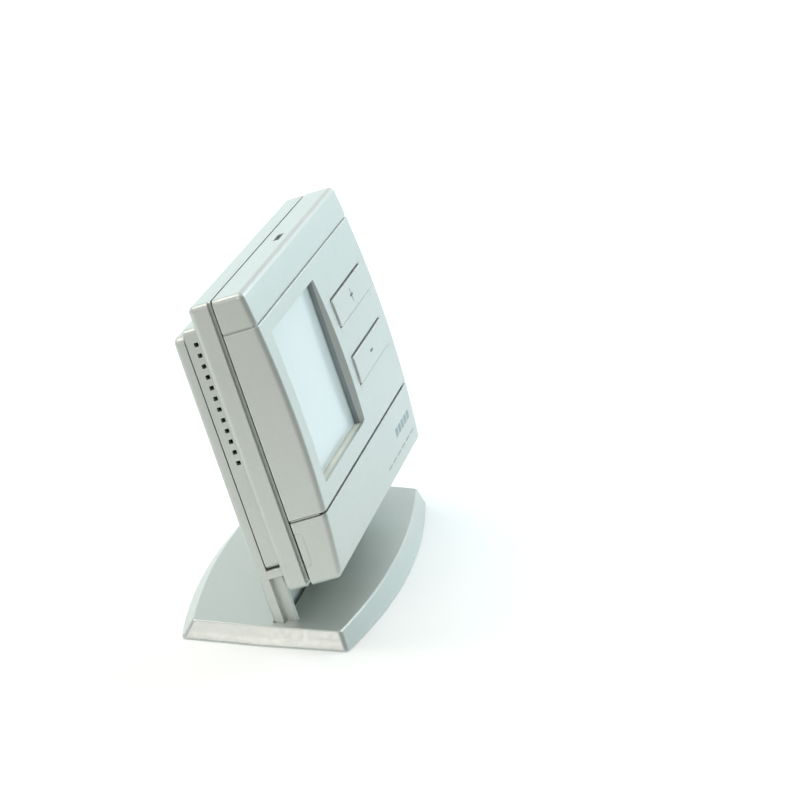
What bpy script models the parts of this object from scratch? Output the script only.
"""Programmable room thermostat on a leaning table stand.

The case leans back on its stand. Everything above the base is therefore drawn in one leaning frame:
x to the right, w forward out of the front (w = 0 is the seam between the shells), v up along the case.
Lengths are in millimetres and are turned into metres when a mesh is made. Front of the object: -Y.
"""
import bmesh
import bpy
from math import cos, pi, radians, sin
from mathutils import Vector

MM = 0.001

# ---- driving dimensions -------------------------------------------------------------------------
CASE_WIDTH = 130.0
CASE_HEIGHT = 80.0
LEAN_DEG = 20.4          # the case leans back from upright
SEAM_FOOT_Y = -12.23     # where the seam plane meets the case's bottom edge, in the world
SEAM_FOOT_Z = 17.5

FRONT_EDGE_DEPTH = 8.5   # seam plane to the front, along the top and bottom edges
FRONT_BOW = 2.45         # how much more the middle of the bowed front stands out
WALL = 2.0
EDGE_ROUND = 1.6

SEAM_FRONT = 0.0         # rear edge of the front shell
SEAM_BACK = -1.3         # front edge of the back shell's outer wall
RIM_FRONT = -0.55        # front edge of the set-in rim seen in the seam groove
RIM_INSET = 1.2

TRAY_BACK = -6.85        # rear face of the wide, shallow part of the back shell
BOX_HALF_WIDTH = 61.0    # narrower raised box on the back
BOX_BACK = -11.3
BOX_BOTTOM = 6.6
BOX_TOP = 73.9
BOX_WALL = 1.8
BOX_REAR_WALL = 1.2      # the vents lie close behind this thinner rear wall

VENT_COUNT = 12          # square vents in a row down each end of the raised box
VENT_SIZE = 1.2
VENT_PITCH = 3.02
VENT_START = 36.3        # height of the lowest vent's centre
VENT_W = -8.7

FLAP_TOP = 18.0          # centre of the groove between flap and front
GROOVE_HEIGHT = 70.57    # decorative groove under the top band
GAP = 0.3

WINDOW_X = (-54.6, 1.4)  # straight-walled part of the display window
WINDOW_V = (23.85, 65.8)
WINDOW_FLOOR = 9.4       # depth where the sloping side cheeks of the window end
WINDOW_SLOPE = 1.25      # sideways run of those cheeks for each millimetre of depth
LENS_FRONT = 7.95        # the lens fills the straight-walled part up to this level

KEY_X = (10.0, 55.6)     # openings of the two long keys
PLUS_V = (49.0, 57.7)
MINUS_V = (31.9, 40.6)
KEY_PROUD = 0.5          # the long keys stand this far out of the bowed front

BOARD_BACK = 2.3         # main circuit board
BOARD_FRONT = 3.9

DECK_BACK = 5.0          # plate behind the flap that holds the programming keys
DECK_FRONT = 6.2
SMALL_KEY_V = 9.5
SMALL_KEY_XS = (-50.0, -30.0, -10.0, 10.0, 30.0, 50.0)

CASE_PIVOT = (0.0, -0.2, 0.5)    # x, w, v of the axis on which the front half swings open
FLAP_PIVOT = (0.0, 2.1, 1.5)

PLATE_BACK = -14.45      # leaning plate of the stand
PLATE_FRONT = -11.7
PLATE_HALF_WIDTH = 61.0
PLATE_TOP = 72.5
FOOT_HALF_WIDTH = 58.5   # two set-back posts under the ledge, one at each end
FOOT_THICKNESS = 2.0
FOOT_FRONT = -8.6
FOOT_END = -11.2
FOOT_RECESS = -12.6      # the plate is thinner between the posts, under the ledge
BOSS_HALF_WIDTH = 2.6    # low bosses between the posts that take the base screws
BOSS_TOP = -5.2
LEDGE_FRONT = -7.3
LEDGE_V = (3.7, 6.1)
PEG_X = 30.0
PEG_V = 54.0
PEG_HEAD = -9.8          # rear face of each peg's head, just inside the case's rear wall
LIFT = 6.0               # how far the case lifts before the pegs come free

BASE_TOP = 5.2
BASE_BOTTOM = 0.3        # the rubber feet stand this far below the base
BASE_SCREW_X = 20.0
BASE_SCREW_Y = -4.6
RUBBER_FEET = {
    "foot_front_left": (-52.0, -14.0),
    "foot_front_right": (52.0, -14.0),
    "foot_rear_left": (-52.0, 14.0),
    "foot_rear_right": (52.0, 14.0),
}

CELL_VS = (24.05, 35.95)
CELL_W = -3.25
CELL_RADIUS = 5.2
BOARD_SCREWS = {
    "board_screw_top_left": (-56.0, 71.5),
    "board_screw_top_right": (56.0, 71.5),
    "board_screw_bottom_left": (-40.0, 4.2),
    "board_screw_bottom_right": (40.0, 4.2),
}


# ---- mesh helpers ---------------------------------------------------------------------------------
def lean_point(x, w, v):
    """Point of the leaning frame in that frame's own mesh axes."""
    return Vector((x, -w, v))


def upright_point(x, y, z):
    """Point of a piece that stands straight."""
    return Vector((x, y, z))


def prism(outline, low, high, point):
    """Closed prism between two levels; point(a, b, level) places one corner of the outline."""
    bm = bmesh.new()
    lower = [bm.verts.new(point(a, b, low)) for a, b in outline]
    upper = [bm.verts.new(point(a, b, high)) for a, b in outline]
    bm.faces.new(lower)
    bm.faces.new(upper)
    count = len(outline)
    for i in range(count):
        j = (i + 1) % count
        bm.faces.new((lower[i], lower[j], upper[j], upper[i]))
    bmesh.ops.recalc_face_normals(bm, faces=bm.faces)
    return bm


def along_x(outline, x):
    """Prism whose (w, v) outline runs from x[0] to x[1]."""
    return prism(outline, x[0], x[1], lambda w, v, level: lean_point(level, w, v))


def along_w(outline, w):
    """Prism whose (x, v) outline runs from w[0] to w[1]."""
    return prism(outline, w[0], w[1], lambda x, v, level: lean_point(x, level, v))


def along_v(outline, v):
    """Prism whose (x, w) outline runs from v[0] to v[1]."""
    return prism(outline, v[0], v[1], lambda x, w, level: lean_point(x, w, level))


def rectangle(a, b):
    """Corners of a rectangle from two (low, high) pairs."""
    return [(a[0], b[0]), (a[1], b[0]), (a[1], b[1]), (a[0], b[1])]


def block(x, w, v):
    """Rectangular block of the leaning frame."""
    return along_x(rectangle(w, v), x)


def upright_block(x, y, z):
    """Rectangular block that stands straight."""
    return prism(rectangle(x, y), z[0], z[1], upright_point)


def circle(centre, radius, sides):
    """Round outline."""
    return arc(centre, radius, 0.0, 2 * pi * (sides - 1) / sides, sides)


def arc(centre, radius, start, end, count):
    """Points on an arc, both ends included."""
    points = []
    for i in range(count):
        angle = start + (end - start) * i / (count - 1)
        points.append((centre[0] + radius * cos(angle), centre[1] + radius * sin(angle)))
    return points


def stadium(centre, length, width, count=7):
    """Outline of a bar with round ends, longer along its first axis."""
    reach = (length - width) / 2
    right = arc((centre[0] + reach, centre[1]), width / 2, -pi / 2, pi / 2, count)
    left = arc((centre[0] - reach, centre[1]), width / 2, pi / 2, 3 * pi / 2, count)
    return right + left


def turned(profile, sides, point):
    """Solid of revolution; profile is (radius, level) from one end of the axis to the other."""
    bm = bmesh.new()
    rings = []
    for radius, level in profile:
        ring = [bm.verts.new(point(a, b, level)) for a, b in circle((0, 0), radius, sides)]
        rings.append(ring)
    for low, high in zip(rings, rings[1:]):
        for i in range(sides):
            j = (i + 1) % sides
            bm.faces.new((low[i], low[j], high[j], high[i]))
    bm.faces.new(rings[0])
    bm.faces.new(rings[-1])
    bmesh.ops.recalc_face_normals(bm, faces=bm.faces)
    return bm


def tube(path, radius, sides):
    """Round wire along a list of points, with flat ends."""
    bm = bmesh.new()
    rings = []
    for i, here in enumerate(path):
        before = path[max(i - 1, 0)]
        after = path[min(i + 1, len(path) - 1)]
        forward = (after - before).normalized()
        side = forward.orthogonal().normalized()
        if rings:
            side = (last_side - forward * last_side.dot(forward)).normalized()
        last_side = side
        other = forward.cross(side)
        ring = []
        for a, b in circle((0, 0), radius, sides):
            ring.append(bm.verts.new(here + side * a + other * b))
        rings.append(ring)
    for low, high in zip(rings, rings[1:]):
        for i in range(sides):
            j = (i + 1) % sides
            bm.faces.new((low[i], low[j], high[j], high[i]))
    bm.faces.new(rings[0])
    bm.faces.new(rings[-1])
    bmesh.ops.recalc_face_normals(bm, faces=bm.faces)
    return bm


def joined(parts):
    """Several separate shapes in one mesh, for use as one cutter."""
    whole = bmesh.new()
    for part in parts:
        scratch = bpy.data.meshes.new("scratch")
        part.to_mesh(scratch)
        part.free()
        whole.from_mesh(scratch)
        bpy.data.meshes.remove(scratch)
    return whole


def round_edges(bm, chosen, radius, segments=2):
    """Round the edges for which chosen(edge) is true."""
    edges = [edge for edge in bm.edges if chosen(edge)]
    bmesh.ops.bevel(bm, geom=edges, offset=radius, offset_type="OFFSET", segments=segments,
                    profile=0.5, affect="EDGES", clamp_overlap=True)
    return bm


def edge_runs(edge, axis):
    """True where an edge runs along one mesh axis."""
    direction = (edge.verts[1].co - edge.verts[0].co).normalized()
    return abs(direction[axis]) > 0.999


# ---- materials and objects ------------------------------------------------------------------------
MATERIALS = {
    "silver_plastic": ((0.66, 0.69, 0.69, 1.0), 0.38, 0.35),
    "dark_plastic": ((0.05, 0.05, 0.055, 1.0), 0.55, 0.0),
    "white_plastic": ((0.78, 0.79, 0.77, 1.0), 0.45, 0.0),
    "clear_lens": ((0.86, 0.93, 0.93, 1.0), 0.08, 0.0),
    "display_glass": ((0.72, 0.80, 0.78, 1.0), 0.12, 0.0),
    "rubber": ((0.09, 0.09, 0.09, 1.0), 0.85, 0.0),
    "silicone": ((0.55, 0.56, 0.57, 1.0), 0.6, 0.0),
    "circuit_board": ((0.04, 0.22, 0.10, 1.0), 0.45, 0.0),
    "steel": ((0.62, 0.62, 0.63, 1.0), 0.28, 1.0),
    "copper": ((0.72, 0.36, 0.20, 1.0), 0.3, 1.0),
    "cell_jacket": ((0.10, 0.22, 0.32, 1.0), 0.35, 0.1),
}
made_materials = {}
origins = {}    # name of each object -> its origin, in the millimetres of its frame


def material(name):
    """Principled material made once for each name."""
    if name not in made_materials:
        colour, roughness, metallic = MATERIALS[name]
        made = bpy.data.materials.new(name)
        made.use_nodes = True
        shader = made.node_tree.nodes["Principled BSDF"]
        shader.inputs["Base Color"].default_value = colour
        shader.inputs["Roughness"].default_value = roughness
        shader.inputs["Metallic"].default_value = metallic
        made_materials[name] = made
    return made_materials[name]


def metre_mesh(name, bm, origin):
    """Mesh in metres about an origin, from shapes drawn in millimetres."""
    for vert in bm.verts:
        vert.co = (vert.co - origin) * MM
    mesh = bpy.data.meshes.new(name)
    bm.to_mesh(mesh)
    bm.free()
    return mesh


def add_object(name, data, parent, origin):
    """Object whose origin sits at a point given in its frame's millimetres."""
    made = bpy.data.objects.new(name, data)
    origins[name] = origin
    made.parent = parent
    made.location = (origin - (origins[parent.name] if parent else Vector())) * MM
    bpy.context.collection.objects.link(made)
    return made


def empty(name, parent, pivot=(0.0, 0.0, 0.0)):
    """Empty that carries the pieces of one moving body, on its joint's axis."""
    made = add_object(name, None, parent, lean_point(*pivot))
    made.empty_display_size = 0.01
    return made


def piece(name, bm, finish, parent=None, pivot=None):
    """Named piece from a mesh drawn in millimetres; its origin is at pivot, or at its carrier's."""
    if pivot is not None:
        origin = lean_point(*pivot)
    else:
        origin = origins[parent.name] if parent else Vector()
    mesh = metre_mesh(name, bm, origin)
    mesh.materials.append(material(finish))
    mesh.shade_smooth()
    mesh.set_sharp_from_angle(angle=radians(35.0))
    return add_object(name, mesh, parent, origin)


def combine(target, name, bm, operation="DIFFERENCE"):
    """Cut a shape from a piece, or join it on, with a Boolean modifier."""
    tool_name = target.name + "_" + name
    tool = bpy.data.objects.new(tool_name, metre_mesh(tool_name, bm, origins[target.name]))
    tool.parent = target
    tool.hide_render = True
    tool.display_type = "WIRE"
    bpy.context.collection.objects.link(tool)
    modifier = target.modifiers.new(name, "BOOLEAN")
    modifier.operation = operation
    modifier.solver = "EXACT"
    modifier.object = tool


def join(target, name, bm):
    """Join a shape onto a piece."""
    combine(target, name, bm, "UNION")


# ---- shared shapes --------------------------------------------------------------------------------
def front_depth(v):
    """How far the bowed front stands ahead of the seam plane at height v."""
    offset = (v - CASE_HEIGHT / 2) / (CASE_HEIGHT / 2)
    return FRONT_EDGE_DEPTH + FRONT_BOW * (1 - offset * offset)


def bowed_outline(back, inset, bottom, top, steps):
    """Side outline (w, v) whose front edge follows the bow."""
    outline = [(back, bottom)]
    for i in range(steps + 1):
        v = bottom + (top - bottom) * i / steps
        outline.append((front_depth(v) - inset, v))
    outline.append((back, top))
    return outline


def case_envelope(back):
    """Outer form of the case ahead of w = back, its outer edges rounded."""
    half = CASE_WIDTH / 2
    bm = along_x(bowed_outline(back, 0.0, 0.0, CASE_HEIGHT, 10), (-half, half))

    def outer_edge(edge):
        a, b = edge.verts
        on_side = abs(abs(a.co.x) - half) < 0.01 and abs(a.co.x - b.co.x) < 0.01
        behind = abs(a.co.y + back) < 0.01 and abs(b.co.y + back) < 0.01
        across = edge_runs(edge, 0) and a.co.y < -back - 1.0
        end_edge = across and (a.co.z < 0.01 or a.co.z > CASE_HEIGHT - 0.01)
        return (on_side and not behind) or end_edge

    return round_edges(bm, outer_edge, EDGE_ROUND)


def screw_profile(head_radius, head, shaft_radius, shaft):
    """Pan-headed screw as (radius, level), level 0 under the head and the shaft going up."""
    return [
        (head_radius * 0.7, -head),
        (head_radius, -head * 0.5),
        (head_radius, 0.0),
        (shaft_radius, 0.0),
        (shaft_radius, shaft * 0.8),
        (shaft_radius * 0.4, shaft),
    ]


# ---- stand ----------------------------------------------------------------------------------------
def base_outline(end, corner, bow, point_out):
    """Plan of the base: bowed long sides, and ends that come to a very flat point."""
    steps = 12
    outline = []
    for i in range(steps + 1):
        x = -end + 2 * end * i / steps
        outline.append((x, -corner - bow * (1 - (x / end) ** 2)))
    outline.append((end + point_out, 0.0))
    for i in range(steps + 1):
        x = end - 2 * end * i / steps
        outline.append((x, corner + bow * (1 - (x / end) ** 2)))
    outline.append((-end - point_out, 0.0))
    return outline


def make_stand_base():
    """Low base whose rim slopes outwards, with a slot for the leaning plate."""
    bm = bmesh.new()
    low = [bm.verts.new((x, y, BASE_BOTTOM)) for x, y in base_outline(65.5, 22.3, 5.6, 0.8)]
    high = [bm.verts.new((x, y, BASE_TOP)) for x, y in base_outline(63.5, 20.0, 4.5, 0.8)]
    bm.faces.new(low)
    bm.faces.new(high)
    count = len(low)
    for i in range(count):
        j = (i + 1) % count
        bm.faces.new((low[i], low[j], high[j], high[i]))
    bmesh.ops.recalc_face_normals(bm, faces=bm.faces)
    base = piece("stand_base", bm, "silver_plastic")

    pockets = [
        upright_block((-46.0, 46.0), (-19.0, -10.5), (-1.0, 3.0)),
        upright_block((-46.0, 46.0), (2.0, 19.0), (-1.0, 3.0)),
    ]
    combine(base, "underside_pockets", joined(pockets))

    seats = []
    for x, y in RUBBER_FEET.values():
        seats.append(upright_round((x, y), 4.3, (-1.0, 1.05)))
    for side in (-1, 1):
        centre = (side * BASE_SCREW_X, BASE_SCREW_Y)
        seats.append(upright_round(centre, 2.3, (-1.0, 1.35)))
    combine(base, "foot_and_screw_seats", joined(seats))

    shafts = []
    for side in (-1, 1):
        shafts.append(upright_round((side * BASE_SCREW_X, BASE_SCREW_Y), 0.95, (1.0, 4.5)))
    combine(base, "screw_holes", joined(shafts))
    return base


def upright_round(centre, radius, z, sides=16):
    """Round solid that stands straight."""
    return prism(circle(centre, radius, sides), z[0], z[1], upright_point)


def foot_spans(clearance=0.0):
    """Spans across the width of the two posts and the two screw bosses at the foot of the plate."""
    posts, bosses = [], []
    for side in (-1, 1):
        inner, outer = FOOT_HALF_WIDTH - FOOT_THICKNESS - clearance, FOOT_HALF_WIDTH + clearance
        posts.append(tuple(sorted((side * inner, side * outer))))
        reach = BOSS_HALF_WIDTH + clearance
        bosses.append((side * BASE_SCREW_X - reach, side * BASE_SCREW_X + reach))
    return posts, bosses


def cut_base_slot(base, lean):
    """Leaning slot that takes the foot of the plate; drawn in the leaning frame."""
    posts, bosses = foot_spans(0.25)
    depth = (PLATE_FRONT - 0.5, FOOT_FRONT + 0.25)
    feet = [block(span, depth, (FOOT_END - GAP, 0.0)) for span in posts + bosses]
    slots = {
        "plate_slot": block((-PLATE_HALF_WIDTH - 0.25, PLATE_HALF_WIDTH + 0.25),
                            (PLATE_BACK - 0.25, PLATE_FRONT + 0.25), (FOOT_END - GAP, 0.0)),
        "foot_slot": joined(feet),
    }
    for name, shape in slots.items():
        combine(base, name, shape)
        bpy.data.objects["stand_base_" + name].parent = lean


def make_stand_upright(lean):
    """Leaning plate with its ledge, end posts, screw bosses and the two pegs that carry the case."""
    plate = block((-PLATE_HALF_WIDTH, PLATE_HALF_WIDTH), (PLATE_BACK, PLATE_FRONT), (FOOT_END, PLATE_TOP))
    round_edges(plate, lambda edge: max(edge.verts[0].co.z, edge.verts[1].co.z) > 0.0, 0.5, 1)
    upright = piece("stand_upright", plate, "silver_plastic", lean)
    inner = FOOT_HALF_WIDTH - FOOT_THICKNESS
    combine(upright, "foot_recess", block((-inner, inner), (FOOT_RECESS, PLATE_FRONT + 1.0), (-20.0, 4.8)))
    posts, bosses = foot_spans()
    feet = [block(span, (PLATE_FRONT - 0.5, FOOT_FRONT), (FOOT_END, 4.5)) for span in posts]
    feet += [block(span, (FOOT_RECESS - 0.5, FOOT_FRONT), (FOOT_END, BOSS_TOP)) for span in bosses]
    join(upright, "foot", joined(feet))
    ledge = block((-PLATE_HALF_WIDTH, PLATE_HALF_WIDTH), (FOOT_RECESS - 0.4, LEDGE_FRONT), LEDGE_V)
    join(upright, "ledge", ledge)
    pegs = []
    for side in (-1, 1):
        centre = (side * PEG_X, PEG_V)
        profile = [(1.5, PLATE_FRONT - 0.6), (1.5, PEG_HEAD), (2.9, PEG_HEAD), (2.9, PEG_HEAD + 0.5),
                   (2.3, PEG_HEAD + 1.0)]
        pegs.append(turned(profile, 16, lambda a, b, w, c=centre: lean_point(c[0] + a, w, c[1] + b)))
    join(upright, "pegs", joined(pegs))
    return upright


def cut_upright_pilots(upright):
    """Vertical pilot holes in the slanting bosses, one for each base screw."""
    pilots = []
    for side in (-1, 1):
        pilots.append(upright_round((side * BASE_SCREW_X, BASE_SCREW_Y), 0.95, (0.0, 8.0), 12))
    combine(upright, "screw_pilots", joined(pilots))
    bpy.data.objects["stand_upright_screw_pilots"].parent = None


def make_stand_fasteners():
    """Base screws and rubber feet."""
    for name, side in (("stand_screw_left", -1), ("stand_screw_right", 1)):
        centre = (side * BASE_SCREW_X, BASE_SCREW_Y)
        profile = screw_profile(1.9, 0.8, 0.7, 6.2)
        bm = turned(profile, 12, lambda a, b, z, c=centre: upright_point(c[0] + a, c[1] + b, z + 1.2))
        piece(name, bm, "steel")
    for name, centre in RUBBER_FEET.items():
        profile = [(3.7, 0.0), (4.0, 0.3), (4.0, 0.9)]
        bm = turned(profile, 20, lambda a, b, z, c=centre: upright_point(c[0] + a, c[1] + b, z))
        piece(name, bm, "rubber")


# ---- back half ------------------------------------------------------------------------------------
def keyhole(centre_x):
    """Keyhole outline (x, v): round entry below, narrow slot above."""
    entry = arc((centre_x, PEG_V - LIFT), 3.3, radians(123.1), radians(416.9), 14)
    slot_end = arc((centre_x, PEG_V), 1.8, 0.0, pi, 7)
    return entry + slot_end


def make_back_shell(parent):
    """Wide shallow tray with a set-in rim and a narrower vented box on its back."""
    half = CASE_WIDTH / 2
    tray = block((-half, half), (TRAY_BACK, SEAM_BACK), (0.0, CASE_HEIGHT))
    round_edges(tray, lambda edge: min(edge.verts[0].co.y, edge.verts[1].co.y) > -SEAM_BACK + 1.0
                or edge_runs(edge, 1), EDGE_ROUND)
    shell = piece("back_shell", tray, "silver_plastic", parent)

    box = block((-BOX_HALF_WIDTH, BOX_HALF_WIDTH), (BOX_BACK, TRAY_BACK + 1.0), (BOX_BOTTOM, BOX_TOP))
    round_edges(box, lambda edge: max(edge.verts[0].co.y, edge.verts[1].co.y) > -BOX_BACK - 0.01, 0.8, 1)
    join(shell, "rear_box", box)
    rim = block((-half + RIM_INSET, half - RIM_INSET), (SEAM_BACK - 1.0, RIM_FRONT),
                (RIM_INSET, CASE_HEIGHT - RIM_INSET))
    join(shell, "rim", rim)

    hollow = block((-half + WALL, half - WALL), (TRAY_BACK + BOX_WALL, 1.0), (WALL, CASE_HEIGHT - WALL))
    combine(shell, "tray_hollow", hollow)
    hollow = block((-BOX_HALF_WIDTH + BOX_WALL, BOX_HALF_WIDTH - BOX_WALL), (BOX_BACK + BOX_REAR_WALL, -2.0),
                   (BOX_BOTTOM + BOX_WALL, BOX_TOP - BOX_WALL))
    combine(shell, "box_hollow", hollow)

    vents = []
    half_vent = VENT_SIZE / 2
    for side in (-1, 1):
        ends = sorted((side * (BOX_HALF_WIDTH - 3.0), side * (BOX_HALF_WIDTH + 1.0)))
        for i in range(VENT_COUNT):
            v = VENT_START + VENT_PITCH * i
            depth = (VENT_W - half_vent, VENT_W + half_vent)
            vents.append(block(ends, depth, (v - half_vent, v + half_vent)))
    combine(shell, "vents", joined(vents))

    holes = [along_w(keyhole(side * PEG_X), (BOX_BACK - 1.0, BOX_BACK + 3.0)) for side in (-1, 1)]
    combine(shell, "hanging_keyholes", joined(holes))
    return shell


def make_release_latch(parent):
    """Tongue under the slot in the top wall; pressing it down frees the front half."""
    arm = block((-0.6, 6.1), (-4.3, 5.1), (75.8, 76.8))
    latch = piece("release_latch", arm, "dark_plastic", parent)
    tooth = block((-0.2, 5.7), (3.8, 5.0), (76.5, 77.6))
    join(latch, "tooth", tooth)


# ---- front half -----------------------------------------------------------------------------------
def make_front_shell(parent):
    """Bowed front with the display window, two key openings and the bay behind the flap."""
    half = CASE_WIDTH / 2
    shell = piece("front_shell", case_envelope(SEAM_FRONT), "silver_plastic", parent)

    upper = along_x(bowed_outline(-1.0, WALL, 20.3, CASE_HEIGHT - WALL, 8), (-half + WALL, half - WALL))
    combine(shell, "upper_hollow", upper)
    side_wall = half - 3.7
    combine(shell, "lower_hollow", block((-side_wall, side_wall), (-1.0, DECK_BACK), (1.9, 21.0)))

    outside = half + 2.0
    combine(shell, "flap_space", block((-outside, outside), (DECK_FRONT, 15.0), (-2.0, FLAP_TOP + GAP)))
    combine(shell, "flap_lip_space", block((-outside, outside), (5.5, 15.0), (-2.0, 1.3)))
    cheeks = []
    for side in (-1, 1):
        ends = sorted((side * (half - 1.9), side * outside))
        cheeks.append(block(ends, (-1.0, 15.0), (-2.0, FLAP_TOP + GAP)))
    combine(shell, "flap_cheek_spaces", joined(cheeks))

    frame = block((WINDOW_X[0] - 1.5, WINDOW_X[1] + 1.5), (8.0, 9.5), (WINDOW_V[0] - 1.7, WINDOW_V[1] + 1.6))
    join(shell, "window_frame", frame)
    combine(shell, "window", block(WINDOW_X, (5.0, 15.0), WINDOW_V))
    run = WINDOW_SLOPE * (12.0 - WINDOW_FLOOR)
    sloping = [(WINDOW_X[0], WINDOW_FLOOR), (WINDOW_X[1], WINDOW_FLOOR),
               (WINDOW_X[1] + run, 12.0), (WINDOW_X[0] - run, 12.0)]
    combine(shell, "window_cheeks", along_v(sloping, (WINDOW_V[0] - 0.3, WINDOW_V[1] + 0.2)))

    keys = [block(KEY_X, (6.5, 15.0), PLUS_V), block(KEY_X, (6.5, 15.0), MINUS_V)]
    combine(shell, "key_openings", joined(keys))

    floor = front_depth(GROOVE_HEIGHT) - 0.6
    outline = [(-outside, -1.0), (-half + 0.6, -1.0), (-half + 0.6, floor), (half - 0.6, floor),
               (half - 0.6, -1.0), (outside, -1.0), (outside, 15.0), (-outside, 15.0)]
    combine(shell, "groove", along_v(outline, (GROOVE_HEIGHT - 0.25, GROOVE_HEIGHT + 0.25)))
    combine(shell, "latch_slot", block((-1.0, 6.5), (3.5, 5.3), (76.0, 82.0)))

    posts = []
    for x, v in BOARD_SCREWS.values():
        top = 8.0 if v > 40.0 else DECK_BACK + 0.5
        posts.append(along_w(circle((x, v), 2.1, 12), (BOARD_FRONT + 0.15, top)))
    join(shell, "screw_posts", joined(posts))
    pilots = [along_w(circle(place, 0.85, 10), (3.0, 5.95)) for place in BOARD_SCREWS.values()]
    combine(shell, "screw_pilots", joined(pilots))

    small = [along_w(stadium((x, SMALL_KEY_V), 7.5, 3.7), (4.0, 7.0)) for x in SMALL_KEY_XS]
    combine(shell, "small_key_openings", joined(small))
    bores = []
    for side in (-1, 1):
        ends = sorted((side * (half - 5.0), side * half))
        bores.append(along_x(circle(FLAP_PIVOT[1:], 0.95, 12), ends))
    combine(shell, "hinge_bores", joined(bores))
    return shell


def make_flap(parent):
    """Flip-down cover: bowed panel, cheeks that wrap the ends, and a hinge pin on each cheek."""
    half = CASE_WIDTH / 2
    flap = piece("flap", case_envelope(SEAM_FRONT + 0.1), "silver_plastic", parent, FLAP_PIVOT)
    above = block((-half - 1, half + 1), (-1.0, 15.0), (FLAP_TOP - GAP, CASE_HEIGHT + 1))
    combine(flap, "above", above)
    inside = along_x(bowed_outline(-1.0, 1.5, 1.0, FLAP_TOP + 1.0, 5), (-half + 1.6, half - 1.6))
    combine(flap, "inside", inside)
    combine(flap, "open_bottom", block((-half + 1.6, half - 1.6), (-1.0, 5.95), (-1.0, 1.5)))
    pins = []
    for side in (-1, 1):
        ends = sorted((side * (half - 3.1), side * (half - 1.2)))
        pins.append(along_x(circle(FLAP_PIVOT[1:], 0.8, 12), ends))
    join(flap, "hinge_pins", joined(pins))
    return flap


def make_long_key(name, v, parent, is_plus):
    """Long push key: bowed cap, retaining flange and stem, with its sign sunk in."""
    x = (KEY_X[0] + 0.35, KEY_X[1] - 0.35)
    low, high = v[0] + 0.35, v[1] - 0.35
    cap = along_x(bowed_outline(7.5, -KEY_PROUD, low, high, 3), x)
    round_edges(cap, lambda edge: edge_runs(edge, 1), 0.9)
    key = piece(name, cap, "silver_plastic", parent)
    flange = block((KEY_X[0] - 0.8, KEY_X[1] + 0.8), (7.3, 8.05), (v[0] - 0.8, v[1] + 0.8))
    join(key, "flange", flange)
    middle = (sum(KEY_X) / 2, sum(v) / 2)
    join(key, "stem", along_w(circle(middle, 2.0, 12), (5.0, 7.6)))
    arm, stroke = 1.8, 0.35
    level = front_depth(middle[1]) + KEY_PROUD - 0.3
    sign = [(-arm, -stroke), (arm, -stroke), (arm, stroke), (-arm, stroke)]
    if is_plus:
        sign = [(-arm, -stroke), (-stroke, -stroke), (-stroke, -arm), (stroke, -arm),
                (stroke, -stroke), (arm, -stroke), (arm, stroke), (stroke, stroke),
                (stroke, arm), (-stroke, arm), (-stroke, stroke), (-arm, stroke)]
    outline = [(middle[0] + a, middle[1] + b) for a, b in sign]
    combine(key, "sign", along_w(outline, (level, 12.0)))


def make_small_keys(parent):
    """Programming keys behind the flap."""
    for number, x in enumerate(SMALL_KEY_XS, start=1):
        cap = along_w(stadium((x, SMALL_KEY_V), 7.0, 3.2), (4.7, 7.0))
        key = piece("program_key_" + str(number), cap, "white_plastic", parent)
        join(key, "flange", along_w(stadium((x, SMALL_KEY_V), 8.6, 4.8), (4.45, 4.85)))


def make_display(parent):
    """Lens, glass, light guide, rubber connector strips and the frame that holds them."""
    x0, x1 = WINDOW_X
    v0, v1 = WINDOW_V
    shapes = {
        "display_lens": (block((x0 - 1.7, x1 + 1.7), (6.6, 7.6), (v0 - 1.9, v1 + 1.8)), "clear_lens"),
        "display_glass": (block((x0 - 0.4, x1 + 0.4), (5.1, 6.4), (v0 - 1.5, v1 + 1.4)), "display_glass"),
        "light_guide": (block((x0 + 0.6, x1 - 0.6), (4.2, 4.9), (26.0, 63.0)), "white_plastic"),
        "connector_strip_lower": (block((x0 + 1.6, x1 - 1.6), (4.1, 4.95), (22.2, 24.2)), "silicone"),
        "connector_strip_upper": (block((x0 + 1.6, x1 - 1.6), (4.1, 4.95), (64.6, 66.6)), "silicone"),
    }
    made = {name: piece(name, bm, finish, parent) for name, (bm, finish) in shapes.items()}
    pane = block((x0 + 0.3, x1 - 0.3), (7.3, LENS_FRONT), (v0 + 0.3, v1 - 0.3))
    join(made["display_lens"], "raised_pane", pane)
    ring = block((x0 - 3.4, x1 + 3.4), (4.15, 7.4), (20.6, 69.0))
    frame = piece("display_frame", ring, "dark_plastic", parent)
    inner = block((x0 - 2.0, x1 + 2.0), (3.0, 9.0), (v0 - 2.1, v1 + 2.0))
    combine(frame, "opening", inner)


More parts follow.
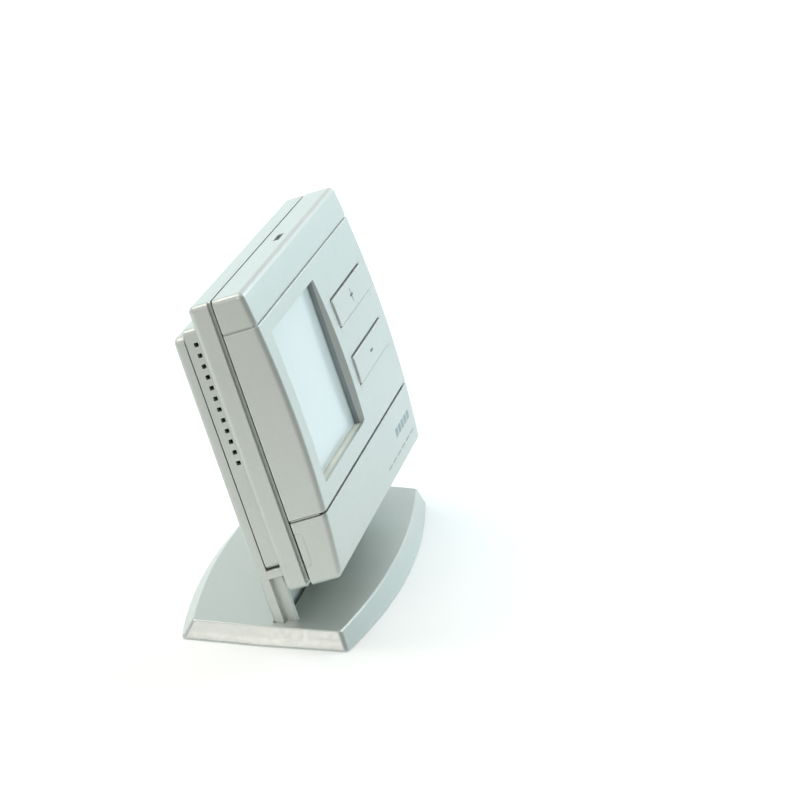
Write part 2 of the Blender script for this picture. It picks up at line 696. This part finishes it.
def make_electronics(parent):
    """Main board with the parts on its rear side."""
    board = piece("main_board", block((-60.5, 60.5), (BOARD_BACK, BOARD_FRONT), (3.0, 74.2)),
                  "circuit_board", parent)
    holes = [along_w(circle(place, 1.0, 12), (BOARD_BACK - 1, BOARD_FRONT + 1))
             for place in BOARD_SCREWS.values()]
    combine(board, "screw_holes", joined(holes))
    for name, (x, v) in BOARD_SCREWS.items():
        profile = screw_profile(1.8, 1.2, 0.65, 3.6)
        bm = turned(profile, 12, lambda a, b, w, c=(x, v): lean_point(c[0] + a, w + 2.15, c[1] + b))
        piece(name, bm, "steel", parent)

    chip = block((-40.0, -28.0), (0.9, 2.15), (46.0, 58.0))
    piece("controller_chip", chip, "dark_plastic", parent)
    piece("clock_crystal", along_x(circle((0.7, 50.0), 1.4, 12), (-24.0, -16.0)), "steel", parent)
    can = along_v(circle((-8.0, -0.5), 2.5, 16), (58.0, 68.0))
    piece("smoothing_capacitor", can, "dark_plastic", parent)
    carrier = block((28.0, 48.0), (1.1, 2.15), (58.0, 70.0))
    radio = piece("radio_module", carrier, "circuit_board", parent)
    join(radio, "shield", block((30.0, 44.0), (-0.8, 1.5), (59.5, 68.5)))

    turns, per_turn = 6, 10
    path = []
    for i in range(turns * per_turn + 1):
        angle = 2 * pi * i / per_turn
        x = 29.0 + 16.0 * i / (turns * per_turn)
        path.append(lean_point(x, -0.6 + 2.2 * cos(angle), 50.0 + 2.2 * sin(angle)))
    piece("antenna_coil", tube(path, 0.35, 6), "copper", parent)

    bead = turned([(0.4, -3.6), (1.2, -2.9), (1.4, -2.0), (1.0, -1.1), (0.4, -0.8)], 12,
                  lambda a, b, w: lean_point(-52.0 + a, w, 52.0 + b))
    sensor = piece("temperature_sensor", bead, "dark_plastic", parent)
    legs = [block((x - 0.25, x + 0.25), (-1.6, 2.1), (51.8, 52.2)) for x in (-52.7, -51.3)]
    join(sensor, "legs", joined(legs))

    mat = piece("keypad_mat", block((8.0, 57.6), (4.0, 4.5), (29.0, 61.0)), "silicone", parent)
    stems = [(sum(KEY_X) / 2, sum(v) / 2) for v in (PLUS_V, MINUS_V)]
    join(mat, "domes", joined([along_w(circle(stem, 3.6, 16), (4.2, 6.2)) for stem in stems]))
    combine(mat, "wells", joined([along_w(circle(stem, 2.5, 16), (3.0, 7.0)) for stem in stems]))


def make_power(parent):
    """Battery tray on the rear of the board, with its cells, springs and contact plates."""
    tray = piece("battery_tray", block((-27.4, 27.4), (-6.5, 2.1), (17.0, 43.0)), "dark_plastic", parent)
    bays = [block((-26.0, 26.0), (-8.0, 3.0), (v - 5.45, v + 5.45)) for v in CELL_VS]
    combine(tray, "bays", joined(bays))

    for (place, turn), v in zip((("lower", 1), ("upper", -1)), CELL_VS):
        def along(a, b, level, v=v, turn=turn):
            return lean_point(turn * level, CELL_W + a, v + b)

        profile = [(4.0, -22.2), (CELL_RADIUS, -21.6), (CELL_RADIUS, 20.6), (4.6, 21.2),
                   (1.9, 21.2), (1.9, 22.2)]
        piece("battery_" + place, turned(profile, 20, along), "cell_jacket", parent)

        coil = []
        for i in range(31):
            angle = 2 * pi * i / 10
            radius = 3.6 - 1.8 * i / 30
            coil.append(lean_point(turn * (-25.6 + 3.0 * i / 30), CELL_W + radius * cos(angle),
                                   v + radius * sin(angle)))
        piece("battery_spring_" + place, tube(coil, 0.25, 6), "steel", parent)

        plate_x = sorted((turn * 25.3, turn * 25.8))
        plate = piece("battery_contact_" + place, block(plate_x, (-7.3, 0.8), (v - 4.0, v + 4.0)),
                      "steel", parent)
        bump = sorted((turn * 22.4, turn * 25.5))
        join(plate, "bump", along_x(circle((CELL_W, v), 2.2, 12), bump))


# ---- assembly -------------------------------------------------------------------------------------
def main():
    """Build the stand, the case and what the case holds."""
    for leftover in list(bpy.data.objects):
        bpy.data.objects.remove(leftover, do_unlink=True)

    base = make_stand_base()
    lean = empty("leaning_frame", None)
    lean.location = (0.0, SEAM_FOOT_Y * MM, SEAM_FOOT_Z * MM)
    lean.rotation_euler = (-radians(LEAN_DEG), 0.0, 0.0)
    cut_base_slot(base, lean)
    upright = make_stand_upright(lean)
    cut_upright_pilots(upright)
    make_stand_fasteners()

    thermostat = empty("thermostat_body", lean)
    make_back_shell(thermostat)
    make_release_latch(thermostat)

    front_case = empty("front_case_body", thermostat, CASE_PIVOT)
    make_front_shell(front_case)
    make_flap(front_case)
    make_long_key("key_plus", PLUS_V, front_case, True)
    make_long_key("key_minus", MINUS_V, front_case, False)
    make_small_keys(front_case)
    make_display(front_case)
    make_electronics(front_case)
    make_power(front_case)


main()
